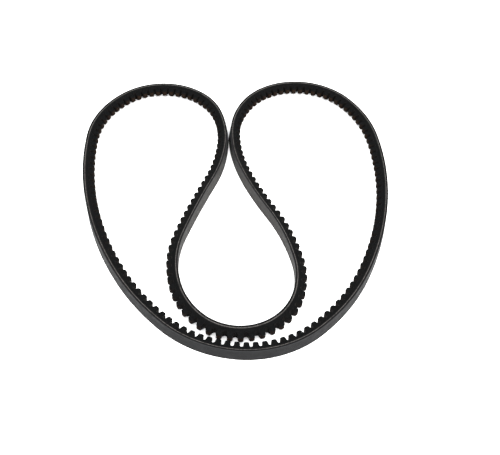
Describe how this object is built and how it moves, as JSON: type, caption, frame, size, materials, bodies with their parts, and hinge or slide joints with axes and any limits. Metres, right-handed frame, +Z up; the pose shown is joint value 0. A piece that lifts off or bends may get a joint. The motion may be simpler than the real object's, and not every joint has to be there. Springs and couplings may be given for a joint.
{
  "type": "v belt",
  "caption": "Endless raw-edge cogged V belt of narrow section, standing on its side edge and folded back into a heart-shaped double loop.",
  "frame": {"origin": "middle of the folded loop's outline, on the plane the belt stands on", "axes": "+Z up, across the belt's width; +Y from the bottom of the heart to its two lobes; +X to the right lobe"},
  "size_m": [0.2394, 0.266, 0.0097],
  "materials": {
    "back_fabric": "rubberised cover fabric, matt, with faint lengthwise streaks",
    "overcord_rubber": "cut rubber, matt",
    "tensile_cord": "treated polyester cord, its cut fibres light grey on the raw edge",
    "cushion_rubber": "bonding rubber, matt",
    "cog_rubber": "fibre-filled black rubber, ground flanks, satin moulded cogs"
  },
  "bodies": {
    "base": {"base_back_fabric": "back_fabric", "base_overcord_rubber": "overcord_rubber", "base_tensile_cord": "tensile_cord", "base_cushion_rubber": "cushion_rubber", "base_cog_rubber": "cog_rubber"},
    "side_right": {"side_right_back_fabric": "back_fabric", "side_right_overcord_rubber": "overcord_rubber", "side_right_tensile_cord": "tensile_cord", "side_right_cushion_rubber": "cushion_rubber", "side_right_cog_rubber": "cog_rubber"},
    "lobe_right": {"lobe_right_back_fabric": "back_fabric", "lobe_right_overcord_rubber": "overcord_rubber", "lobe_right_tensile_cord": "tensile_cord", "lobe_right_cushion_rubber": "cushion_rubber", "lobe_right_cog_rubber": "cog_rubber"},
    "fold_right": {"fold_right_back_fabric": "back_fabric", "fold_right_overcord_rubber": "overcord_rubber", "fold_right_tensile_cord": "tensile_cord", "fold_right_cushion_rubber": "cushion_rubber", "fold_right_cog_rubber": "cog_rubber"},
    "fold_left": {"fold_left_back_fabric": "back_fabric", "fold_left_overcord_rubber": "overcord_rubber", "fold_left_tensile_cord": "tensile_cord", "fold_left_cushion_rubber": "cushion_rubber", "fold_left_cog_rubber": "cog_rubber"},
    "lobe_left": {"lobe_left_back_fabric": "back_fabric", "lobe_left_overcord_rubber": "overcord_rubber", "lobe_left_tensile_cord": "tensile_cord", "lobe_left_cushion_rubber": "cushion_rubber", "lobe_left_cog_rubber": "cog_rubber"},
    "side_left": {"side_left_back_fabric": "back_fabric", "side_left_overcord_rubber": "overcord_rubber", "side_left_tensile_cord": "tensile_cord", "side_left_cushion_rubber": "cushion_rubber", "side_left_cog_rubber": "cog_rubber"}
  },
  "joints": [
    {"name": "base_right_flex", "type": "hinge", "parent": "base", "child": "side_right", "pos_m": [0.04503, -0.1261, 0.00485], "axis": [0, 0, 1], "range_deg": [0, 10]},
    {"name": "waist_right_flex", "type": "hinge", "parent": "side_right", "child": "lobe_right", "pos_m": [0.11595, -0.00609, 0.00485], "axis": [0, 0, -1], "range_deg": [0, 20]},
    {"name": "shoulder_right_flex", "type": "hinge", "parent": "lobe_right", "child": "fold_right", "pos_m": [0.00839, 0.1102, 0.00485], "axis": [0, 0, 1], "range_deg": [0, 10]},
    {"name": "base_left_flex", "type": "hinge", "parent": "base", "child": "side_left", "pos_m": [0.00162, -0.13044, 0.00485], "axis": [0, 0, -1], "range_deg": [0, 10]},
    {"name": "waist_left_flex", "type": "hinge", "parent": "side_left", "child": "lobe_left", "pos_m": [-0.10595, -0.01415, 0.00485], "axis": [0, 0, 1], "range_deg": [0, 20]},
    {"name": "shoulder_left_flex", "type": "hinge", "parent": "lobe_left", "child": "fold_left", "pos_m": [-0.03503, 0.10586, 0.00485], "axis": [0, 0, -1], "range_deg": [0, 10]}
  ],
  "couplings": [
    {"joint": "waist_right_flex", "follows": "base_right_flex", "ratio": 2},
    {"joint": "shoulder_right_flex", "follows": "base_right_flex", "ratio": 1},
    {"joint": "base_left_flex", "follows": "base_right_flex", "ratio": 1},
    {"joint": "waist_left_flex", "follows": "base_right_flex", "ratio": 2},
    {"joint": "shoulder_left_flex", "follows": "base_right_flex", "ratio": 1}
  ]
}
